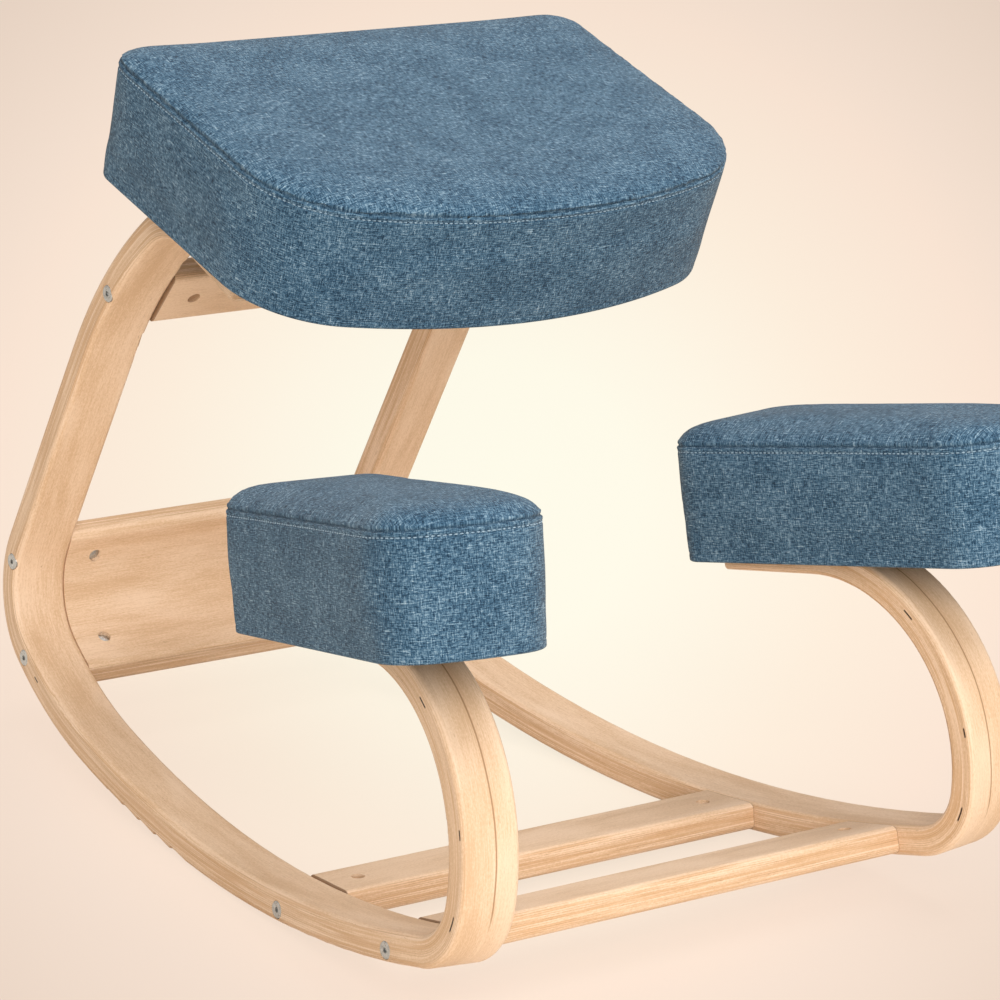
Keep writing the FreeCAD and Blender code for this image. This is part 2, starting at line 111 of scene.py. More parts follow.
# %% Camera
view_azimuth = math.radians(-36.71)
view_height = math.radians(12.33)
camera_place = at_rest(-1924.23, -2582.07, 916.33)
look_back = Vector((
    math.sin(view_azimuth) * math.cos(view_height),
    -math.cos(view_azimuth) * math.cos(view_height),
    math.sin(view_height),
))
look_right = Vector((math.cos(view_azimuth), math.sin(view_azimuth), 0))
look_up = look_back.cross(look_right)
axes = [rest_turn @ axis for axis in (look_right, look_up, look_back)]
camera_data = bpy.data.cameras.new("studio_camera")
camera_data.lens = 160
camera_data.sensor_width = 36
camera_data.clip_end = 100
camera = new_object("studio_camera", camera_data)
camera.matrix_world = Matrix.Translation(camera_place) @ Matrix(axes).transposed().to_4x4()
bpy.context.scene.camera = camera
print("camera at", camera_place)

# %% [markdown]
# Materials are graphs of nodes. Writing each link by hand gets long, so a small helper holds the
# graph and adds one node at a time. Numbers that are the same all over go on the shader itself.

# %% Node helper
class Graph:
    def __init__(self, name):
        self.material = bpy.data.materials.new(name)
        self.material.use_nodes = True
        self.tree = self.material.node_tree
        self.shader = self.tree.nodes["Principled BSDF"]

    def add(self, kind, inputs=None, **settings):
        node = self.tree.nodes.new("ShaderNode" + kind)
        for key, value in settings.items():
            setattr(node, key, value)
        self.feed(node, inputs or {})
        return node

    def feed(self, node, inputs):
        """Sockets are linked, and plain numbers and colours are set."""
        for key, value in inputs.items():
            if isinstance(value, bpy.types.NodeSocket):
                self.tree.links.new(value, node.inputs[key])
            else:
                node.inputs[key].default_value = value

    def math(self, operation, a, b=0.0, clamp=False):
        node = self.add("Math", {0: a, 1: b}, operation=operation, use_clamp=clamp)
        return node.outputs[0]

    def times(self, a, b):
        return self.math("MULTIPLY", a, b)

    def plus(self, a, b):
        return self.math("ADD", a, b)

    def distance(self, a, b):
        return self.math("ABSOLUTE", self.math("SUBTRACT", a, b))

    def vector(self, operation, a, b=(0, 0, 0)):
        return self.add("VectorMath", {0: a, 1: b}, operation=operation).outputs

    def object_place(self):
        return self.add("TexCoord").outputs["Object"]

    def attribute(self, name):
        return self.add("Attribute", attribute_name=name).outputs

    def scaled(self, vector, x, y, z):
        return self.vector("MULTIPLY", vector, (x, y, z))[0]

    def noise(self, vector, scale=1.0, detail=2.0, roughness=0.5, distortion=0.0):
        inputs = {"Vector": vector, "Scale": scale, "Detail": detail, "Roughness": roughness}
        return self.add("TexNoise", {**inputs, "Distortion": distortion}).outputs["Fac"]

    def ramp(self, value, *stops):
        node = self.add("ValToRGB", {"Fac": value})
        elements = node.color_ramp.elements
        while len(elements) < len(stops):
            elements.new(0.5)
        for element, (position, colour) in zip(elements, stops):
            element.position = position
            element.color = colour
        return node.outputs["Color"]

    def steps(self, value, low, high, out_low=0.0, out_high=1.0):
        inputs = {"Value": value, "From Min": low, "From Max": high, "To Min": out_low, "To Max": out_high}
        return self.add("MapRange", inputs, interpolation_type="SMOOTHSTEP").outputs[0]

    def mix(self, factor, first, second):
        node = self.add("Mix", data_type="RGBA")
        self.feed(node, {0: factor, 6: first, 7: second})
        return node.outputs[2]

    def bump(self, height, distance, strength):
        inputs = {"Height": height, "Distance": distance, "Strength": strength}
        return self.add("Bump", inputs).outputs["Normal"]

    def finish(self, colour, roughness, normal, constants=None):
        inputs = {"Base Color": colour, "Roughness": roughness, "Normal": normal, **(constants or {})}
        self.feed(self.shader, inputs)
        return self.material


print("node helper ready")

# %% [markdown]
# Bent birch is a stack of thin veneers. On the wide faces one veneer shows: pale, with fine lines
# along the bend. On the narrow sides the stack shows as thin lines that follow the curve. Where a
# veneer has a gap, the shade inside it is painted on as a small dark slit. All of that comes from three
# lengths: how far along the bend a point is, how far across, and how deep. The graph reads them as one
# vector.

# %% Birch
birch_light = tint(236, 204, 173)
birch_mid = tint(225, 190, 155)
birch_deep = tint(212, 174, 136)
birch_line = tint(156, 112, 72)
# Painted shade for the inside of a gap in the veneer stack.
birch_slit_shade = tint(60, 38, 22)
birch_dark_layer = tint(200, 154, 108)
# Painted contact shade: a dark brown for the crossbars' ends where they butt on a rail.
birch_contact_shade = tint(104, 70, 42)
veneer = 1.5 * MM
face_veneer = 1.4 * MM


def finish_birch(graph, grain, thickness, marks=(), joint=None, end_shade=None):
    """Grain is (along, across, depth) in metres. Marks are the places of real gaps in the stack of veneers,
    whose darkness is painted shade; joint is where two veneers meet edge to edge; and the last argument
    is a mask of painted contact shade, from how near the wood is to the rail it butts on."""
    along, across, depth = graph.add("SeparateXYZ", {0: grain}).outputs
    fibre = graph.noise(graph.scaled(grain, 40, 1100, 1100), detail=3, roughness=0.65)
    cloud = graph.noise(graph.scaled(grain, 8, 38, 260), detail=2, distortion=0.5)
    mottle = graph.noise(graph.scaled(grain, 420, 900, 900), detail=2, roughness=0.7)
    tone = graph.plus(graph.times(fibre, 0.3), graph.times(cloud, 0.4))
    tone = graph.plus(tone, graph.times(mottle, 0.3))
    face = graph.ramp(tone, (0.41, birch_deep), (0.50, birch_mid), (0.59, birch_light))
    hair = graph.noise(graph.scaled(grain, 130, 700, 700), detail=1, distortion=1.2)
    face = graph.mix(graph.steps(hair, 0.70, 0.78, 0, 0.35), face, birch_line)

    layer_at = graph.math("DIVIDE", depth, veneer)
    layer_no = graph.math("FLOOR", layer_at)
    layer_in = graph.math("FRACT", layer_at)
    from_middle = graph.distance(layer_in, 0.5)
    glue = graph.steps(from_middle, 0.34, 0.46)
    per_layer = graph.add("CombineXYZ", {0: graph.times(along, 5), 1: layer_no, 2: 3.1})
    layer_tone = graph.noise(per_layer.outputs[0], scale=1.7, detail=1)
    glue_on = graph.steps(graph.noise(per_layer.outputs[0], scale=2.3, detail=1), 0.44, 0.66, 0.1, 0.75)
    inner = graph.steps(
        graph.distance(depth, thickness / 2),
        thickness / 2 - face_veneer - 0.5 * MM, thickness / 2 - face_veneer + 0.5 * MM, 1, 0,
    )
    layered = graph.mix(graph.steps(layer_tone, 0.46, 0.64, 0, 0.55), face, birch_dark_layer)
    layered = graph.mix(graph.times(glue, glue_on), layered, birch_line)
    colour = graph.mix(inner, face, layered)

    # Painted shade: each gap in the stack is darkened as if shade fell into it, and only pressed in a little
    # by the bump; it is not cut into the mesh.
    dark = None
    for mark_along, mark_depth, mark_length in marks:
        short = graph.steps(graph.distance(along, mark_along), mark_length * 0.4, mark_length * 0.55, 1, 0)
        thin = graph.steps(graph.distance(depth, mark_depth), 0.5 * MM, 0.9 * MM, 1, 0)
        spot = graph.times(short, thin)
        dark = spot if dark is None else graph.math("MAXIMUM", dark, spot)
    if dark:
        dark = graph.times(dark, inner)
        colour = graph.mix(dark, colour, birch_slit_shade)
    if joint:
        start, stop, place = joint
        wander = graph.noise(graph.scaled(grain, 14, 0, 0), detail=1)
        line = graph.plus(place - 1.0 * MM, graph.times(wander, 2.0 * MM))
        line = graph.steps(graph.distance(across, line), 0.35 * MM, 0.95 * MM, 0.8, 0)
        within = graph.distance(along, (start + stop) / 2)
        span = stop - start
        line = graph.times(line, graph.steps(within, span * 0.42, span * 0.5, 1, 0))
        on_face = graph.steps(depth, 1 * MM, 2 * MM, 1, 0)
        colour = graph.mix(graph.times(line, on_face), colour, birch_line)
    # Painted contact shade: the wood is darkened where it butts on a rail.
    if end_shade:
        colour = graph.mix(end_shade, colour, birch_contact_shade)

    height = graph.times(fibre, 0.3)
    height = graph.math("SUBTRACT", height, graph.times(graph.times(glue, inner), 0.35))
    if dark:
        height = graph.math("SUBTRACT", height, dark)
    rough = graph.steps(fibre, 0.3, 0.7, 0.44, 0.56)
    lacquer = {"Specular IOR Level": 0.35, "Coat Weight": 0.06, "Coat Roughness": 0.4}
    return graph.finish(colour, rough, graph.bump(height, 0.3 * MM, 0.5), lacquer)


def birch_along(name, thickness, marks=(), joint=None):
    """Birch for a bent piece, which carries its own grain vector."""
    graph = Graph(name)
    grain = graph.attribute("grain")["Vector"]
    return finish_birch(graph, grain, thickness, marks, joint)


def birch_flat(name, thickness, centre, tilt):
    """Birch for a straight bar: turned level, so that along = X and depth = its thin way, and darkened with
    painted contact shade where it butts on a rail.
    """
    graph = Graph(name)
    place = graph.object_place()
    moved = graph.vector("SUBTRACT", place, centre)[0]
    turned = graph.add("Mapping", {"Vector": moved, "Rotation": (tilt, 0, 0)}).outputs[0]
    grain = graph.vector("ADD", turned, (0.7, 0.11, thickness / 2))[0]
    # Painted contact shade: the bar is darkened within a millimetre of a rail's inner side; x is folded so
    # both rails count.
    x, y, z = graph.add("SeparateXYZ", {0: place}).outputs
    folded = graph.times(graph.math("ABSOLUTE", x), -1.0)
    left = graph.add("CombineXYZ", {0: folded, 1: y, 2: z}).outputs[0]
    reach = graph.vector("DOT_PRODUCT", left, tuple(rail_across))["Value"]
    from_rail = graph.math("SUBTRACT", reach, rail_foot.dot(rail_across) + rail_width)
    contact_shade = graph.steps(from_rail, 0.2 * MM, 0.8 * MM, 0.6, 0)
    return finish_birch(graph, grain, thickness, end_shade=contact_shade)


rail_thick = 23 * MM
rail_width = 45 * MM
rail_edge_r = 4.5 * MM
bar_thick = 21 * MM
board_thick = 20 * MM
board_edge_r = 7 * MM
splay = math.radians(4.9)
lean = math.radians(2.87)
rail_turn = Matrix.Rotation(-splay, 3, "Z") @ Matrix.Rotation(lean, 3, "Y")
rail_across = rest_turn @ rail_turn @ Vector((1, 0, 0))
rail_foot = at_rest(-226, 0, 0)
print("birch veneers of", veneer / MM, "mm")

# %% [markdown]
# For the wood to follow the bend, each rail has to know its own path. The path is a chain of
# straight runs and arcs, the same that the real rail is pressed to. A point of the mesh belongs to
# the run that it lies beside, and from that run it gets its three lengths. Each row of the path
# says where the rail's outer side starts and heads, in millimetres and degrees, how long a
# straight run is, and an arc's radius and turn.

# %% The rails' path
rail_path = [
    ("seat_end", 46.075, 397.331, 20.5, 80.0, 0, 0),
    ("top_bend", 121.008, 425.348, 20.5, 0, 78.0, 52.5),
    ("shoulder", 189.658, 418.435, -32.0, 0, 350.0, 26.3),
    ("slope", 301.970, 305.534, -58.3, 195.5, 0, 0),
    ("rear_bend", 404.700, 139.200, -58.3, 0, 74.5, 85.9),
    ("heel", 384.894, 39.628, -144.2, 0, 360.0, 19.2),
    ("rocker", 277.157, -13.385, -163.4, 0, 1090.0, 27.7),
    ("toe", -244.092, -38.422, -191.1, 0, 64.3, 70.7),
    ("curl", -295.356, 15.504, -261.8, 0, 145.7, 106.0),
    ("knee_end", -131.372, 180.637, -367.8, 90.0, 0, 0),
]
rail_origin = Vector((-226, 0, 0)) * MM


def rail_lengths(points):
    """(along, across, depth) in metres of points in the left rail's own frame, the path's heading
    there, and how far the worst point strays from the path, in millimetres."""
    y, z = points[:, 1] / MM, points[:, 2] / MM
    thick = rail_thick / MM
    best = np.full(len(points), 1e9)
    along = np.zeros(len(points))
    depth = np.zeros(len(points))
    course = np.zeros(len(points))
    start = 0.0
    for name, run_y, run_z, heading, length, radius, turn in rail_path:
        angle = math.radians(heading)
        if radius:
            centre_y = run_y + radius * math.sin(angle)
            centre_z = run_z - radius * math.cos(angle)
            reach = np.hypot(y - centre_y, z - centre_z)
            facing = np.arctan2(z - centre_z, y - centre_y)
            swept = (angle + math.pi / 2 - facing + math.pi) % (2 * math.pi) - math.pi
            length = math.radians(turn) * (radius - thick / 2)
            run_along = swept * (radius - thick / 2)
            run_depth = radius - reach
            run_course = angle - swept
        else:
            run_along = (y - run_y) * math.cos(angle) + (z - run_z) * math.sin(angle)
            run_depth = (y - run_y) * math.sin(angle) - (z - run_z) * math.cos(angle)
            run_course = np.full(len(points), angle)
        beyond = np.maximum(np.maximum(-run_along, run_along - length), 0)
        outside = np.maximum(np.maximum(-run_depth, run_depth - thick), 0)
        miss = beyond + outside
        closer = miss < best
        best[closer] = miss[closer]
        along[closer] = start + run_along[closer]
        depth[closer] = run_depth[closer]
        course[closer] = run_course[closer]
        start += length
    return np.stack([along * MM, points[:, 0], depth * MM], axis=1), course, best.max()


def wear(node, material):
    """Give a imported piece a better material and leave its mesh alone."""
    for slot in nodes[node].material_slots:
        slot.material = material


def copy_of_node(node, name):
    """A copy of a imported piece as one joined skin, at its place."""
    piece = new_object(name, nodes[node].data.copy())
    piece.data.materials.clear()
    make_active(piece)
    edit_all()
    bpy.ops.mesh.remove_doubles(threshold=0.01 * MM)
    leave_edit()
    bpy.ops.object.shade_smooth_by_angle(angle=math.radians(30))
    return piece


def read_rows(items, key):
    """Three numbers of each item as one table."""
    values = np.zeros(len(items) * 3, dtype=np.float32)
    items.foreach_get(key, values)
    return values.reshape(-1, 3).astype(float)


def read_numbers(items, key):
    values = np.zeros(len(items), dtype=np.int32)
    items.foreach_get(key, values)
    return values


def corners_of(piece):
    return read_rows(piece.data.vertices, "co")


def set_corners(piece, places):
    piece.data.vertices.foreach_set("co", places.astype(np.float32).ravel())
    piece.data.update()


def true_normals(piece, wanted):
    """Give each corner the direction worked out for it, where that suits its face."""
    mesh = piece.data
    faces = np.repeat(read_rows(mesh.polygons, "normal"), 3, axis=0)
    chosen = wanted[read_numbers(mesh.loops, "vertex_index")]
    fits = np.einsum("ij,ij->i", chosen, faces) > 0.8
    now = read_rows(mesh.corner_normals, "vector")
    mesh.normals_split_custom_set(np.where(fits[:, None], chosen, now).tolist())
    return fits.mean()


def section_normals(across, depth, course):
    """Outward directions round the rail's section with its rounded corners, in the rail's own frame."""
    side = across - np.clip(across, rail_edge_r, rail_width - rail_edge_r)
    deep = depth - np.clip(depth, rail_edge_r, rail_thick - rail_edge_r)
    size = np.maximum(np.hypot(side, deep), 1e-9)
    side, deep = side / size, deep / size
    return np.stack([side, deep * np.sin(course), -deep * np.cos(course)], axis=1)


def store_grain(piece, lengths):
    grain = piece.data.attributes.new("grain", "FLOAT_VECTOR", "POINT")
    grain.data.foreach_set("vector", lengths.astype(np.float32).ravel())


def give_grain(piece, side):
    """Side is -1 for the right rail, whose corners are first mirrored into the left rail's frame."""
    places = corners_of(piece)
    places[:, 0] *= side
    places = (places - np.array(rest_shift)) @ np.array(rest_turn)
    lengths, course, miss = rail_lengths((places - np.array(rail_origin)) @ np.array(rail_turn))
    facing = section_normals(lengths[:, 1], lengths[:, 2], course)
    facing = facing @ np.array(rest_turn @ rail_turn).T
    facing[:, 0] *= side
    share = true_normals(piece, facing)
    store_grain(piece, lengths)
    return miss, share


# %% [markdown]
# Here and there a veneer in the stack has a short gap, and the shade inside it is painted as a dark
# slit in the rail's side. On the curl two veneers meet edge to edge, which shows as one thin brown line.

# %% Dress the rails
slits = (
    (1.277, 8.0 * MM, 12 * MM), (1.338, 4.5 * MM, 7 * MM),
    (1.432, 8.0 * MM, 10 * MM), (0.62, 13.5 * MM, 7 * MM),
)
veneer_joint = (1.27, 1.50, 25 * MM)
rail_birch = birch_along("rail_birch", rail_thick, slits, veneer_joint)
board_birch = birch_along("board_birch", board_thick)
for node, side in (("rail_left", 1), ("rail_right", -1)):
    rail = copy_of_node(node, node + "_birch")
    miss, share = give_grain(rail, side)
    rail.data.materials.append(rail_birch)
    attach(rail, "root")
    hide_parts(node)
    print(node, "strays", round(float(miss), 2), "mm from its path, smooth share", round(float(share), 3))

# %% [markdown]
# The board at the back is bent in the rails' own rear bend, so it takes its lengths from the same
# path. Its fibres run across the chair, so along and across change places.

# %% Dress the rear board
board = copy_of_node("rear_board", "rear_board_birch")
places = corners_of(board)
local = (places - np.array(rest_shift)) @ np.array(rest_turn)
lengths, course, miss = rail_lengths(local)
first, last = lengths[:, 0].min(), lengths[:, 0].max()
inner, outer = lengths[:, 2].min(), lengths[:, 2].max()
up_down = lengths[:, 0] - np.clip(lengths[:, 0], first + board_edge_r, last - board_edge_r)
in_out = lengths[:, 2] - np.clip(lengths[:, 2], inner + board_edge_r, outer - board_edge_r)
size = np.maximum(np.hypot(up_down, in_out), 1e-9)
facing = np.stack([
    np.zeros(len(size)),
    (up_down * np.cos(course) + in_out * np.sin(course)) / size,
    (up_down * np.sin(course) - in_out * np.cos(course)) / size,
], axis=1)
share = true_normals(board, facing @ np.array(rest_turn).T)
grain_values = np.stack([places[:, 0] + 5.0, lengths[:, 0], lengths[:, 2] - inner], axis=1)
store_grain(board, grain_values)
board.data.materials.append(board_birch)
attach(board, "root")
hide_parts("rear_board")
print("board from", inner / MM, "to", outer / MM, "mm deep, along", first, last, "smooth share", share)

# %% [markdown]
# The crossbars are straight, so their wood is read from plain places: the graph moves the bar's
# middle to the origin and turns it level, and the stack of veneers then lies along its depth.
# Where a bar butts on a rail, its wood is darkened with painted contact shade.

# %% Dress the crossbars
bars = {
    "top_crossbar": ((0, 212.17, 391.25), (-0.7821, -0.6232), 3.0),
    "rear_lower_crossbar": ((0, -111.51, 16.65), (0.0997, 0.9950), 1.5),
    "front_lower_crossbar": ((0, -261.65, 42.57), (0.2394, 0.9709), 1.5),
}
for node, (bolt_place, inward, set_in) in bars.items():
    centre = [value * MM for value in bolt_place]
    centre[1] += inward[0] * set_in * MM
    centre[2] += inward[1] * set_in * MM
    tilt = math.atan2(inward[0], inward[1])
    wood = birch_flat(node + "_birch", bar_thick, centre, tilt)
    wear(node, wood)
    print(node, "turned by", round(math.degrees(tilt), 1), "degrees")

# %% [markdown]
# Bolts, washers and nuts are steel with a bright zinc skin: a fairly rough metal with faint
# clouds where the plating varies. The boards inside the cushions are plain flat plywood, and the
# thin cloth under each cushion is black and fibrous.

# %% Zinc, base boards, foam and dust cloth
def zinc():
    graph = Graph("bright_zinc")
    place = graph.object_place()
    cloud = graph.noise(graph.scaled(place, 400, 400, 400), detail=3)
    fine = graph.noise(graph.scaled(place, 2500, 2500, 2500), detail=1)
    colour = graph.ramp(cloud, (0.3, tint(178, 178, 176)), (0.7, tint(214, 214, 212)))
    rough = graph.steps(cloud, 0.3, 0.7, 0.24, 0.4)
    return graph.finish(colour, rough, graph.bump(fine, 0.04 * MM, 0.4), {"Metallic": 1.0})


def fibrous(name, scale, detail, dark, light, rough, depth, strength, distortion=0.0, constants=None):
    """One noise sets both the shade, between two stops, and the relief."""
    graph = Graph(name)
    fibre = graph.noise(graph.scaled(graph.object_place(), *scale), detail=detail, distortion=distortion)
    return graph.finish(graph.ramp(fibre, dark, light), rough, graph.bump(fibre, depth, strength), constants)


def foam_skin():
    graph = Graph("open_foam")
    place = graph.object_place()
    cells = graph.add("TexVoronoi", {"Vector": place, "Scale": 900.0}).outputs["Distance"]
    colour = graph.ramp(cells, (0.1, tint(196, 188, 160)), (0.5, tint(232, 226, 204)))
    return graph.finish(colour, 0.9, graph.bump(cells, 0.5 * MM, 0.6))


base_ply = fibrous(
    "flat_plywood", (20, 500, 500), 3, (0.3, tint(188, 152, 110)), (0.7, tint(222, 190, 150)),
    rough=0.7, depth=0.2 * MM, strength=0.4,
)
dust_cloth = fibrous(
    "dust_cloth", (700, 700, 700), 4, (0.35, tint(16, 16, 18)), (0.7, tint(44, 44, 47)),
    rough=0.9, depth=0.3 * MM, strength=0.5, distortion=1.5,
)
finishes = {"steel": zinc(), "base_board": base_ply, "foam": foam_skin(), "dust_cloth": dust_cloth}
for part in frame["record"]["subparts"]:
    if part["material_slot"] in finishes:
        wear(part["node"], finishes[part["material_slot"]])
print("plain finishes:", sorted(finishes))

# %% [markdown]
# The cloth is a plain weave of slub yarn: every thread changes in thickness and shade along its
# length, so the surface shows short light and dark dashes both ways. The weave follows the cloth,
# not the room, so it is read from a UV map that counts real lengths on each panel.

# %% Slub cloth
def slub_cloth():
    graph = Graph("slub_cloth")
    weave = graph.add("UVMap", uv_map="weave").outputs["UV"]
    warp = graph.noise(graph.scaled(weave, 1150, 210, 1), detail=2, roughness=0.7)
    weft = graph.noise(graph.scaled(weave, 180, 1150, 1), detail=2, roughness=0.7)
    warp_slub = graph.noise(graph.scaled(weave, 700, 75, 1), detail=1)
    weft_slub = graph.noise(graph.scaled(weave, 66, 700, 1), detail=1)
    speck = graph.noise(graph.scaled(weave, 1400, 1400, 1), detail=1)
    cloud = graph.noise(graph.scaled(weave, 30, 30, 1), detail=3)
    thread = graph.plus(graph.times(warp, 0.4), graph.times(weft, 0.46))
    thread = graph.plus(thread, graph.times(speck, 0.14))
    slub = graph.math("MAXIMUM", warp_slub, weft_slub)
    value = graph.plus(thread, graph.steps(slub, 0.60, 0.80, -0.004, 0.09))
    value = graph.plus(value, graph.steps(cloud, 0.3, 0.7, -0.016, 0.016))
    colour = graph.ramp(
        value, (0.40, tint(22, 45, 64)), (0.46, tint(44, 74, 97)), (0.515, tint(69, 101, 124)),
        (0.58, tint(110, 137, 155)), (0.68, tint(162, 181, 193)),
    )
    # Painted shade: the cloth is darkened in the seam's valley and along the pressed-in topstitch row.
    seam_way = graph.attribute("seam_way")["Fac"]
    seam_shade = graph.steps(graph.math("ABSOLUTE", seam_way), 0.4 * MM, 1.2 * MM, 0.38, 0)
    from_row = graph.distance(seam_way, -row_below * MM)
    row_shade = graph.steps(from_row, 0.4 * MM, 1.1 * MM, 0.22, 0)
    colour = graph.mix(graph.math("MAXIMUM", seam_shade, row_shade), colour, cloth_crease_shade)
    waves = []
    for way, band in (((1, 0, 0), "X"), ((0, 1, 0), "Y")):
        inputs = {"Vector": graph.scaled(weave, *way), "Scale": threads}
        waves.append(graph.add("TexWave", inputs, bands_direction=band).outputs["Fac"])
    grid = graph.times(*waves)
    height = graph.plus(graph.times(thread, 1.2), graph.times(grid, 0.4))
    fuzz = {"Sheen Weight": 0.14, "Sheen Roughness": 0.5, "Sheen Tint": tint(228, 216, 200)}
    fuzz["Specular IOR Level"] = 0.15
    return graph.finish(colour, 0.88, graph.bump(height, 0.9 * MM, 0.7), fuzz)


row_below = 5.0
threads = 160.0
# Painted crease shade for the seam's valley and the topstitch row.
cloth_crease_shade = tint(30, 48, 64)
cloth = slub_cloth()
print("cloth ready:", cloth.name)

# %% [markdown]
# A cushion is made as a stack of rings. Each ring is the outline of the cushion drawn in by some
# amount at some height: from the middle of the underside, out and down to the hem, up the side
# band to the seam, and over the crown to the middle of the top. Rings lie close together at the
# hem and the seam, where the cloth folds, and further apart elsewhere.

# %% Outline of a cushion
def outline(width, depth, bow, front_r, rear_r, spacing):
    """Evenly spaced points round a cushion, its rear edge on y = 0, with their outward directions."""
    half = width / 2
    bow_r = (half * half + bow * bow) / (2 * bow)
    bow_y = -depth + bow_r
    corner_x = half - front_r
    corner_y = bow_y - math.sqrt((bow_r - front_r) ** 2 - corner_x ** 2)
    tilt = math.atan2(corner_x, bow_y - corner_y)
    runs = [
        ("arc", half - rear_r, -rear_r, rear_r, math.pi / 2, 0),
        ("line", half, -rear_r, half, corner_y),
        ("arc", corner_x, corner_y, front_r, 0, tilt - math.pi / 2),
        ("arc", 0, bow_y, bow_r, tilt - math.pi / 2, -tilt - math.pi / 2),
        ("arc", -corner_x, corner_y, front_r, -tilt - math.pi / 2, -math.pi),
        ("line", -half, corner_y, -half, -rear_r),
        ("arc", -half + rear_r, -rear_r, rear_r, math.pi, math.pi / 2),
        ("line", -half + rear_r, 0, half - rear_r, 0),
    ]
    points = []
    for run in runs:
        if run[0] == "arc":
            _, centre_x, centre_y, radius, first, last = run
            count = max(6, int(abs(last - first) * radius / fine_step))
            angles = np.linspace(first, last, count, endpoint=False)
            round_arc = np.stack([np.cos(angles), np.sin(angles)], 1)
            points.append(np.array([centre_x, centre_y]) + radius * round_arc)
        else:
            _, x0, y0, x1, y1 = run
            count = max(6, int(math.hypot(x1 - x0, y1 - y0) / fine_step))
            share = np.linspace(0, 1, count, endpoint=False)[:, None]
            points.append(np.array([x0, y0]) * (1 - share) + np.array([x1, y1]) * share)
    fine = np.concatenate(points)
    fine = np.vstack([fine, fine[:1]])
    travelled = np.r_[0, np.cumsum(np.hypot(*np.diff(fine, axis=0).T))]
    count = int(travelled[-1] / spacing)
    wanted = np.linspace(0, travelled[-1], count, endpoint=False)
    even = np.stack([np.interp(wanted, travelled, fine[:, k]) for k in (0, 1)], 1)
    ahead = np.roll(even, -1, 0) - np.roll(even, 1, 0)
    outward = np.stack([-ahead[:, 1], ahead[:, 0]], 1)
    outward /= np.linalg.norm(outward, axis=1)[:, None]
    return even, outward, wanted


fine_step = 0.2
seat_size = dict(width=422, depth=294, bow=50, front_r=88, rear_r=26)
knee_size = dict(width=123, depth=293, bow=11, front_r=38, rear_r=18)
print("seat outline:", round(float(outline(**seat_size, spacing=2.0)[2][-1])), "mm round")

# %% Rings of a cushion
rim_drop = 10.2
hem_thick = 2.4
low_band = 7.5
high_band = 12.5
crown_bend = 14


def cushion_rings(seam, crown, reach, fullness, bulge, seam_in, hem_in):
    """Each ring: how far drawn in, how much shrunk, its height, and which zone of cloth it is in.

    The band's lowest and highest parts, by the hem and the seam, have closer rings than its middle.
    """
    rings = []
    inside = hem_in + hem_thick
    for share in (0.12, 0.35, 0.6, 0.85, 1):
        rings.append((inside, share, 0.95, "under"))
    rings.append((inside, 1, -rim_drop * 0.5, "under"))
    rings.append((inside - 0.3, 1, -rim_drop + 0.8, "under"))
    rings.append((hem_in + hem_thick / 2, 1, -rim_drop, "side"))
    rings.append((hem_in + 0.3, 1, -rim_drop + 0.7, "side"))
    bottom = -rim_drop + 1.6
    between = seam - (low_band + high_band) - bottom
    heights = [bottom + low_band * share for share in np.linspace(0, 1, 9)]
    heights += [bottom + low_band + between * share for share in np.linspace(0, 1, 19)[1:]]
    heights += [seam - high_band + high_band * share for share in np.linspace(0, 1, 18)[1:]]
    for height in heights:
        share = (height - bottom) / (seam - bottom)
        drawn = hem_in * (1 - share) ** 1.6 + seam_in * share ** 1.5
        rings.append((drawn - bulge * math.sin(math.pi * share) ** 2, 1, height, "side"))
    for share in np.linspace(0, 1, 24)[1:]:
        inset = crown_bend * share ** 1.5
        rings.append((seam_in + inset, 1, seam + crown * crown_shape(inset / reach, fullness), "top"))
    for share in np.linspace(0, 1, 24)[1:]:
        shrink = 1 - share * 0.985
        inward = 1 - (1 - crown_bend / reach) * shrink
        rings.append((seam_in + crown_bend, shrink, seam + crown * crown_shape(inward, fullness), "top"))
    return rings


def crown_shape(inward, fullness):
    """How high the top has risen, from 0 at the seam to 1 in the middle."""
    return (1 - (1 - inward) ** fullness[0]) ** fullness[1]


print("a flat crown rises by", crown_shape(0.1, (8, 0.5)), "of its height near the seam")

# %% [markdown]
# A cushion could be blown up from a box, but its seam, hem and stitches need clean rings of faces.
# So it starts as a circle whose corners are set on the outline. The circle is extruded, and each
# new ring is set in its place. The two ends are filled and poked, which leaves a fan round one
# point. The helper remembers the order of the corners for the seam, the stitches and the weave.

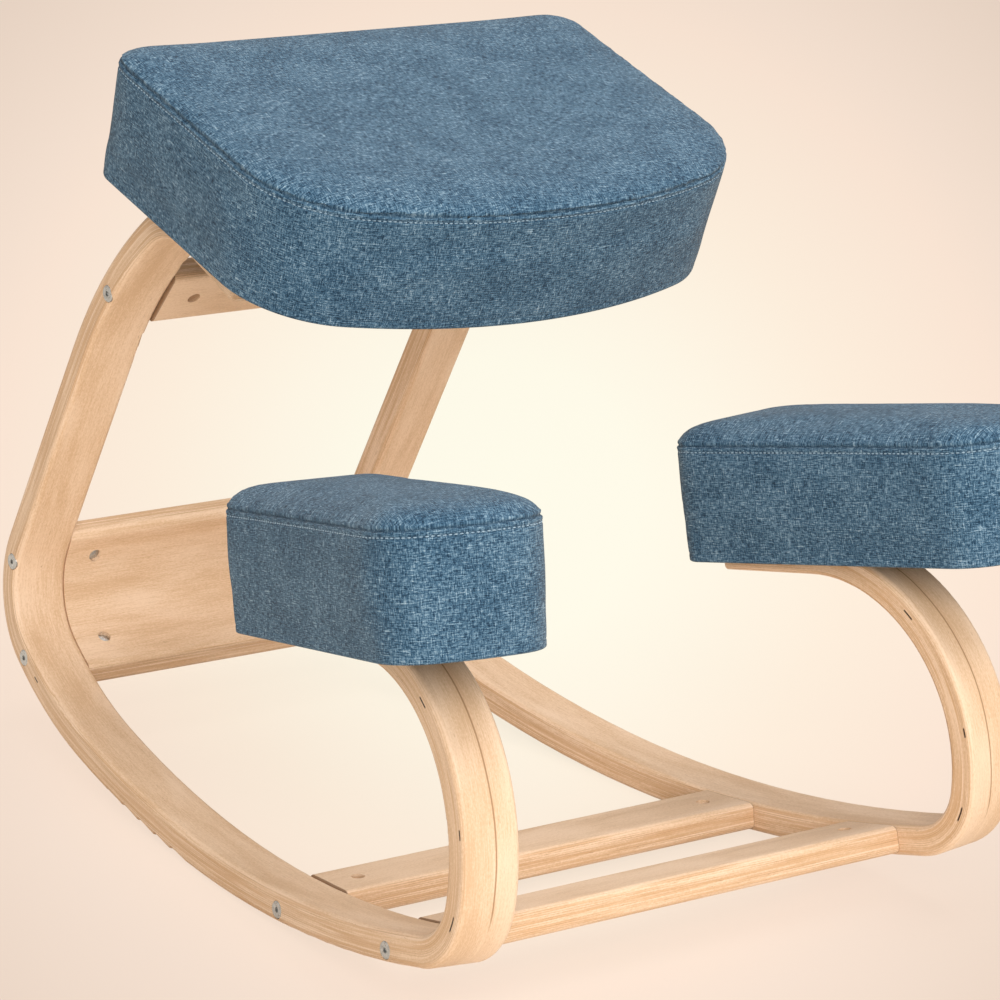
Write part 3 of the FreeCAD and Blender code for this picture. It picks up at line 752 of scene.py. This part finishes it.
# %% Skin of a cushion
class Cushion:
    def __init__(self, name, size, seam, crown, fullness, bulge, seam_in, hem_in, spacing, origin, axes):
        self.name = name
        self.size = size
        self.seam = seam
        self.origin = Vector(origin) * MM
        self.turn = Matrix(axes).transposed()
        even, outward, self.round = outline(**size, spacing=spacing)
        middle = np.array([0, -size["depth"] / 2])
        reach = min(size["width"], size["depth"]) / 2
        self.rings = cushion_rings(seam, crown, reach, fullness, bulge, seam_in, hem_in)
        layers = []
        for inset, shrink, height, zone in self.rings:
            flat = middle + (even - outward * inset - middle) * shrink
            layers.append(np.column_stack([flat, np.full(len(flat), height)]))
        self.count = len(even)
        under, over = ([[*middle, height]] for height in (self.rings[0][2], seam + crown))
        self.local = np.concatenate([*layers, under, over])
        self.zone = [ring[3] for ring in self.rings for _ in range(self.count)] + ["under", "top"]

    def world(self, local):
        return (local * MM) @ np.array(self.turn).T + np.array(self.origin)

    def inverse(self, places):
        return (places - np.array(self.origin)) @ np.array(self.turn) / MM

    def first_side_ring(self):
        return min(index for index, ring in enumerate(self.rings) if ring[3] == "side")

    def ring_corners(self, ring):
        """The corners of one ring in the mesh that is being edited."""
        skin = bmesh.from_edit_mesh(self.piece.data)
        skin.verts.ensure_lookup_table()
        return skin, [skin.verts[index] for index in range(ring * self.count, (ring + 1) * self.count)]

    def build(self):
        places = self.world(self.local)
        deselect_all()
        bpy.ops.mesh.primitive_circle_add(
            vertices=self.count, radius=0.1, fill_type="NOTHING", location=(0, 0, 0),
        )
        self.piece = bpy.context.object
        self.piece.name = self.name
        bpy.ops.object.mode_set(mode="EDIT")
        for ring in range(len(self.rings)):
            if ring:
                bpy.ops.mesh.extrude_region()
            skin, corners = self.ring_corners(ring)
            for corner, place in zip(corners, places[ring * self.count:]):
                corner.co = place
        for ring in (0, len(self.rings) - 1):
            bpy.ops.mesh.select_all(action="DESELECT")
            skin, corners = self.ring_corners(ring)
            for corner in corners:
                corner.select = True
            skin.select_flush(True)
            bpy.ops.mesh.edge_face_add()
            bpy.ops.mesh.poke()
        skin = bmesh.from_edit_mesh(self.piece.data)
        skin.verts.ensure_lookup_table()
        skin.verts[-2].co, skin.verts[-1].co = places[-2], places[-1]
        bpy.ops.mesh.select_all(action="SELECT")
        bpy.ops.mesh.normals_make_consistent(inside=False)
        leave_edit()
        bpy.ops.object.shade_smooth()
        strays = np.abs(corners_of(self.piece) - places).max()
        print(self.name, "corners", len(self.piece.data.vertices), "furthest from the plan", float(strays))

    def move_corners(self, local):
        self.local = local
        set_corners(self.piece, self.world(local))


seat_slope = 20.5
rise = math.radians(seat_slope - rest_angle)
seat_axes = (1, 0, 0), (0, math.cos(rise), math.sin(rise)), (0, -math.sin(rise), math.cos(rise))
knee_axes = (
    (0.983255, -0.181456, 0.016833), (0.180549, 0.957457, -0.225119), (0.024732, 0.224388, 0.974186),
)
seat = Cushion(
    "seat_cushion", seat_size, seam=84.0, crown=10.0, fullness=(8.0, 0.5), bulge=0.6, seam_in=-3.0,
    hem_in=3.0, spacing=2.0, origin=(0, 206.669, 502.204), axes=seat_axes,
)
knee = Cushion(
    "knee_cushion_left", knee_size, seam=79.0, crown=19.0, fullness=(2.3, 0.52), bulge=1.2, seam_in=-2.5,
    hem_in=0.8, spacing=1.6, origin=(-195.971, -78.965, 228.786), axes=knee_axes,
)
for cushion in (seat, knee):
    cushion.build()

# %% [markdown]
# The foam presses the cloth out between its seams, and stretched cloth finds its own shape. That
# is what a cloth simulation with air pressure does. It runs on a coarse copy, because it needs
# even faces: the copy starts a little too small, its hem is held, it is blown up for twenty
# frames, and no point may go further than the cap. The fine skin is then laid on it.

# %% Blow up a coarse copy
upholstery = dict(
    quality=5, mass=0.3, tension_stiffness=25, compression_stiffness=25, shear_stiffness=12,
    bending_stiffness=1.2, use_pressure=True, uniform_pressure_force=4, vertex_group_mass="held",
)
last_frame = 20
held_below = 3.0
start_in = 0.3
cap = 1.4 * MM


def blown_copy(cushion, voxel):
    make_active(cushion.piece)
    bpy.ops.object.duplicate()
    rough = bpy.context.object
    rough.name = cushion.name + "_blown"
    edit_all()
    bpy.ops.mesh.remove_doubles(threshold=0.4 * MM)
    leave_edit()
    remesh = rough.modifiers.new("even", "REMESH")
    remesh.mode = "VOXEL"
    remesh.voxel_size = voxel
    bpy.ops.object.modifier_apply(modifier="even")
    local = cushion.inverse(corners_of(rough))
    free = local[:, 2] >= held_below
    held = rough.vertex_groups.new(name="held")
    held.add(np.flatnonzero(~free).tolist(), 1.0, "REPLACE")
    middle = np.array([0, -cushion.size["depth"] / 2])
    pulled = local.copy()
    toward = middle - local[free, :2]
    toward /= np.maximum(np.linalg.norm(toward, axis=1), 1)[:, None]
    rising = np.clip((local[free, 2] - held_below) / 20, 0, 1)
    pulled[free, :2] += toward * (start_in * rising)[:, None]
    pulled[free, 2] -= start_in * np.clip((local[free, 2] - cushion.seam + 12) / 12, 0, 1)
    set_corners(rough, cushion.world(pulled))
    before = corners_of(rough)
    air = rough.modifiers.new("air", "CLOTH")
    for key, value in upholstery.items():
        setattr(air.settings, key, value)
    air.settings.effector_weights.gravity = 0
    air.collision_settings.use_collision = False
    scene = bpy.context.scene
    for step in range(1, last_frame + 1):
        scene.frame_set(step)
    shown = rough.evaluated_get(bpy.context.evaluated_depsgraph_get())
    after = np.array([corner.co[:] for corner in shown.data.vertices])
    rough.modifiers.remove(air)
    scene.frame_set(1)
    moved = after - before
    far = np.linalg.norm(moved, axis=1)
    moved *= (np.minimum(far, cap) / np.maximum(far, 1e-9))[:, None]
    set_corners(rough, before + moved)
    smooth = rough.modifiers.new("calm", "SMOOTH")
    smooth.factor = 0.5
    smooth.iterations = 6
    make_active(rough)
    bpy.ops.object.modifier_apply(modifier="calm")
    risen = (moved @ np.array(cushion.turn))[:, 2].mean() / MM
    print(rough.name, len(after), "corners, on average risen by", round(float(risen), 3), "mm")
    return rough


def lay_on(cushion, rough):
    """Lay the fine skin on the blown copy, all but the hem and the underside."""
    piece = cushion.piece
    group = piece.vertex_groups.new(name="soft")
    for index, (height, zone) in enumerate(zip(cushion.local[:, 2], cushion.zone)):
        if zone != "under" and height > 4:
            group.add([index], float(np.clip((height - 4) / 16, 0, 1)), "REPLACE")
    wrap = piece.modifiers.new("lay", "SHRINKWRAP")
    wrap.target = rough
    wrap.wrap_method = "NEAREST_SURFACEPOINT"
    wrap.vertex_group = "soft"
    make_active(piece)
    bpy.ops.object.modifier_apply(modifier="lay")
    cushion.local = cushion.inverse(corners_of(piece))
    bpy.data.objects.remove(rough)


lay_on(seat, blown_copy(seat, voxel=6 * MM))
lay_on(knee, blown_copy(knee, voxel=5 * MM))
print("cushions are full")

# %% [markdown]
# Now the sewing. At the seam the top panel and the band are turned in and caught, which leaves a
# thin valley with a small roll on each side. Below it runs a row of topstitching that presses the
# cloth in a little, and the hem has a fold line just above its edge. These are small moves of the
# fine rings, along the direction in which the skin faces. Each row below is one of them: how far
# it pushes out, how far above the seam it lies and how wide it spreads, all in millimetres.

# %% Seam, topstitch line and hem
def skin_directions(cushion):
    return read_rows(cushion.piece.data.vertices, "normal") @ np.array(cushion.turn)


stitched = (
    (-1.15, 0.0, 0.9),
    (0.5, 2.4, 1.5),
    (0.45, -2.2, 1.2),
    (-0.7, -row_below, 0.9),
)


def bell(distance, spread):
    return math.exp(-(distance / spread) ** 2)


def waves_round(cushion, random, waves):
    """Soft waves round the cushion, each of another strength and start."""
    turn = cushion.round / cushion.round[-1] * 2 * math.pi
    return sum(random.uniform(0.4, 1.0) * np.cos(turn * wave + random.uniform(0, 6.28)) for wave in waves)


def sew(cushion, seed):
    n = cushion.count
    rings = len(cushion.rings)
    directions = skin_directions(cushion)
    spine = cushion.local[: n * rings].reshape(rings, n, 3)
    steps = np.linalg.norm(np.diff(spine, axis=0), axis=2).mean(axis=1)
    travel = np.r_[0, np.cumsum(steps)]
    zones = [ring[3] for ring in cushion.rings]
    seam_ring = max(index for index, zone in enumerate(zones) if zone == "side")
    cushion.seam_ring, cushion.travel = seam_ring, travel
    from_seam = travel - travel[seam_ring]
    from_hem = travel - travel[cushion.first_side_ring()]
    random = np.random.default_rng(seed)
    girth = cushion.round[-1]
    pucker = waves_round(cushion, random, random.integers(int(girth / 22), int(girth / 7), 14)) / 4
    slack = waves_round(cushion, random, random.integers(3, 14, 6)) / 3
    push = np.zeros((rings, n))
    for ring in range(rings):
        if zones[ring] == "under":
            continue
        seam = from_seam[ring]
        push[ring] += sum(out * bell(seam - place, spread) for out, place, spread in stitched)
        push[ring] += pucker * (0.16 * bell(seam + 4.5, 3.5) + 0.12 * bell(seam - 4.5, 4.0))
        push[ring] += slack * 0.35 * bell(seam + 40, 22)
        push[ring] -= 0.35 * bell(from_hem[ring] - 6.5, 0.8)
    shift = np.zeros_like(cushion.local)
    shift[: n * rings] = directions[: n * rings] * push.reshape(-1, 1)
    seam_way = cushion.piece.data.attributes.new("seam_way", "FLOAT", "POINT")
    seam_way.data.foreach_set("value", np.r_[np.repeat(from_seam, n), -1, 1].astype(np.float32) * MM)
    cushion.move_corners(cushion.local + shift)
    print(cushion.name, "seam ring", seam_ring, "of", rings)


sew(seat, 4)
sew(knee, 9)

# %% [markdown]
# The weave needs real lengths. On the band they are counted round the cushion and up its side, and
# a face that closes the round counts on past the full turn. The flat panels use plain places.

# %% Weave lengths on each panel
def lay_weave(cushion):
    n = cushion.count
    rings = len(cushion.rings)
    mesh = cushion.piece.data
    uv = mesh.uv_layers.new(name="weave")
    corner = read_numbers(mesh.loops, "vertex_index")
    starts = read_numbers(mesh.polygons, "loop_start")
    face_of = np.repeat(np.arange(len(starts)), read_numbers(mesh.polygons, "loop_total"))
    ring = np.minimum(corner // n, rings)
    side_way = cushion.round[corner % n]
    lowest = np.minimum.reduceat(ring, starts)[face_of]
    highest = np.maximum.reduceat(ring, starts)[face_of]
    full_turn = cushion.round[-1] + (cushion.round[1] - cushion.round[0])
    first = np.minimum.reduceat(side_way, starts)[face_of]
    last = np.maximum.reduceat(side_way, starts)[face_of]
    past_start = (last - first > full_turn / 2) & (side_way < full_turn / 2)
    side_way = np.where(past_start, side_way + full_turn, side_way)
    on_side = (lowest >= cushion.first_side_ring() - 3) & (highest <= cushion.seam_ring)
    travel = np.r_[cushion.travel, cushion.travel[-1]][ring]
    place = cushion.local[corner]
    u = np.where(on_side, side_way, place[:, 0] + top_panel_at[0])
    v = np.where(on_side, travel, place[:, 1] + top_panel_at[1])
    uv.data.foreach_set("uv", (np.column_stack([u, v]) * MM).astype(np.float32).ravel())
    mesh.materials.append(cloth)
    print(cushion.name, "side corners", int(on_side.sum()))


top_panel_at = (900, 700)
lay_weave(seat)
lay_weave(knee)

# %% [markdown]
# The topstitching is a row of short loops of thread. One stitch is shaped from a sphere, then it
# is copied along the line, each copy turned to follow the seam and sunk halfway into the cloth.

# %% One stitch
stitch_size = (2.7 * MM, 0.95 * MM, 0.8 * MM)
stitch_step = 3.9
stitch_rise = 0.25
deselect_all()
bpy.ops.mesh.primitive_uv_sphere_add(segments=8, ring_count=6, radius=0.5, location=(0, 0, 0))
pattern = bpy.context.object
edit_all()
bpy.ops.transform.resize(value=stitch_size)
leave_edit()
stitch_corners = corners_of(pattern)
stitch_faces = [tuple(face.vertices) for face in pattern.data.polygons]
bpy.data.objects.remove(pattern)
print("stitch faces", len(stitch_faces))

# %% Thread material and the rows of stitches
thread = fibrous(
    "stitch_thread", (900, 900, 900), 3, (0.3, tint(104, 134, 156)), (0.7, tint(166, 188, 202)),
    rough=0.7, depth=0.2 * MM, strength=0.5, constants={"Sheen Weight": 0.3},
)


def stitch_row(cushion, name):
    """A row of stitches below the seam, one every few millimetres along the skin."""
    n = cushion.count
    wanted = cushion.travel[cushion.seam_ring] - row_below
    ring = int(np.argmin(np.abs(cushion.travel - wanted)))
    line = cushion.local[ring * n: (ring + 1) * n]
    facing = skin_directions(cushion)[ring * n: (ring + 1) * n]
    closed = np.vstack([line, line[:1]])
    travelled = np.r_[0, np.cumsum(np.linalg.norm(np.diff(closed, axis=0), axis=1))]
    count = int(travelled[-1] / stitch_step)
    corners, faces = [], []
    for index in range(count):
        here = travelled[-1] * index / count
        nearest = int(np.searchsorted(travelled, here)) % n
        centre = np.array([np.interp(here, travelled, closed[:, k]) for k in range(3)])
        ahead = line[(nearest + 1) % n] - line[nearest - 1]
        ahead /= np.linalg.norm(ahead)
        out = facing[nearest] - ahead * facing[nearest].dot(ahead)
        out /= np.linalg.norm(out)
        basis = np.stack([ahead, np.cross(out, ahead), out])
        faces += [tuple(c + len(corners) * len(stitch_corners) for c in face) for face in stitch_faces]
        corners.append(centre + out * stitch_rise + (stitch_corners / MM) @ basis)
    mesh = bpy.data.meshes.new(name)
    mesh.from_pydata(cushion.world(np.concatenate(corners)).tolist(), [], faces)
    mesh.update()
    piece = new_object(name, mesh)
    make_active(piece)
    bpy.ops.object.shade_smooth()
    mesh.materials.append(thread)
    print(name, count, "stitches")
    return piece


seat_stitches = stitch_row(seat, "seat_topstitch")
knee_stitches = stitch_row(knee, "knee_topstitch_left")

# %% [markdown]
# The right knee cushion is the left one mirrored across the chair. A mirrored skin is inside out,
# so its faces are flipped back.

# %% Mirror the knee cushion
def mirrored_copy(piece, name):
    make_active(piece)
    bpy.ops.object.duplicate()
    copy = bpy.context.object
    copy.name = name
    copy.data.name = name
    edit_all()
    bpy.ops.transform.mirror(constraint_axis=(True, False, False), center_override=(0, 0, 0))
    bpy.ops.mesh.normals_make_consistent(inside=False)
    leave_edit()
    return copy


knee_right = mirrored_copy(knee.piece, "knee_cushion_right")
knee_right_stitches = mirrored_copy(knee_stitches, "knee_topstitch_right")
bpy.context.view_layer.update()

# %% Seat the cushions in the frame
cushions = (
    (seat.piece, seat_stitches, "seat"), (knee.piece, knee_stitches, "knee_left"),
    (knee_right, knee_right_stitches, "knee_right"),
)
for piece, stitches, where in cushions:
    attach(piece, "root")
    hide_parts(where + "_cover", where + "_foam")
    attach(stitches, "root")
    print(piece.name, "replaces the cover and foam of", where)

# %% [markdown]
# Under each cushion a thin black dust cloth is stapled over the board. It is stretched flat, so
# the copy keeps the imported form as it is. The size each was cut to caps the area printed for it.

# %% Dust cloths
cut_sizes = {"seat": (0.409, 0.281), "knee_left": (0.110, 0.276), "knee_right": (0.110, 0.276)}
for where, flat in cut_sizes.items():
    under = copy_of_node(where + "_liner", where + "_dust_cloth")
    under.data.materials.append(finishes["dust_cloth"])
    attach(under, "root")
    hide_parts(where + "_liner")
    area = sum(face.area for face in under.data.polygons) / 2
    area = min(area, flat[0] * flat[1])
    print(where, "dust cloth", round(area, 4), "square metres")

# %% [markdown]
# The studio is a wide pale floor that fades from cream behind the chair to a peach tone at the
# edges of the picture. The fade is painted on the floor once, as rings seen from where the camera
# stands, and it stays where it is in every other view. The floor still takes the chair's shadow.

# %% Floor
deselect_all()
bpy.ops.mesh.primitive_plane_add(size=80, location=(0, 0, 0))
floor = bpy.context.object
floor.name = "studio_floor"
paint = Graph("studio_floor")
place = paint.object_place()
lens_pixels = 4444.4
fade_pixels = 700
own_light = 0.86
ray = paint.vector("SUBTRACT", place, camera_place)[0]
ahead = -axes[2]
deep = paint.vector("DOT_PRODUCT", ray, ahead)["Value"]
along_view = paint.add("VectorMath", {0: ahead, 3: deep}, operation="SCALE").outputs[0]
off = paint.vector("SUBTRACT", ray, along_view)[0]
wide = paint.vector("LENGTH", off)["Value"]
radius = paint.math("MULTIPLY", paint.math("DIVIDE", wide, deep), lens_pixels / fade_pixels, clamp=True)
room_edge = tint(234, 214, 198)
fade = paint.ramp(
    radius, (0.0, tint(254, 251, 234)), (0.2, tint(254, 250, 233)), (0.32, tint(254, 246, 229)),
    (0.5, tint(253, 238, 220)), (0.72, tint(250, 229, 212)), (0.8, tint(245, 225, 209)), (1.0, room_edge),
)
glow = paint.add("Emission", {"Color": fade, "Strength": own_light})
lit = paint.add("BsdfDiffuse", {"Color": paint.mix(own_light, fade, (0, 0, 0, 1))})
both = paint.add("AddShader", {0: glow.outputs[0], 1: lit.outputs[0]})
plain = paint.add("BsdfDiffuse", {"Color": tint(236, 226, 214)})
seen = paint.add("LightPath")
direct = paint.add("MixShader", {0: seen.outputs["Is Camera Ray"], 1: plain.outputs[0], 2: both.outputs[0]})
output = paint.tree.nodes["Material Output"]
paint.feed(output, {"Surface": direct.outputs[0]})
floor.data.materials.append(paint.material)
print("floor painted")

# %% [markdown]
# The light is soft and comes mostly from the camera's side: one broad lamp at a moderate height in
# front, two weaker ones, low and overhead, and a bright room. The corners that face the camera
# catch the most.

# %% Lamps and room
chair_middle = Vector((0, 0, 0.3))
lamps = {
    "key_lamp": ((-2.2, -4.6, 3.0), 3.0, 180),
    "face_lamp": ((-2.9, -3.9, 1.4), 1.6, 34),
    "top_lamp": ((0.6, -0.7, 3.0), 2.4, 46),
}
for name, (place, size, power) in lamps.items():
    data = bpy.data.lights.new(name, "AREA")
    data.shape = "DISK"
    data.size = size
    data.energy = power
    holder = new_object(name, data)
    holder.location = place
    holder.rotation_euler = (chair_middle - Vector(place)).to_track_quat("-Z", "Y").to_euler()
world = bpy.data.worlds.new("studio_room")
world.use_nodes = True
bpy.context.scene.world = world
tree = world.node_tree
tree.nodes.clear()
path_kind = tree.nodes.new("ShaderNodeLightPath")
choose = tree.nodes.new("ShaderNodeMixShader")
world_output = tree.nodes.new("ShaderNodeOutputWorld")
tree.links.new(path_kind.outputs["Is Camera Ray"], choose.inputs[0])
for socket, colour, strength in ((1, (1.0, 0.985, 0.96, 1), 0.58), (2, room_edge, 1.0)):
    backdrop = tree.nodes.new("ShaderNodeBackground")
    backdrop.inputs["Color"].default_value = colour
    backdrop.inputs["Strength"].default_value = strength
    tree.links.new(backdrop.outputs[0], choose.inputs[socket])
tree.links.new(choose.outputs[0], world_output.inputs["Surface"])
bpy.context.scene.view_settings.view_transform = "Standard"
print("lamps and room ready")
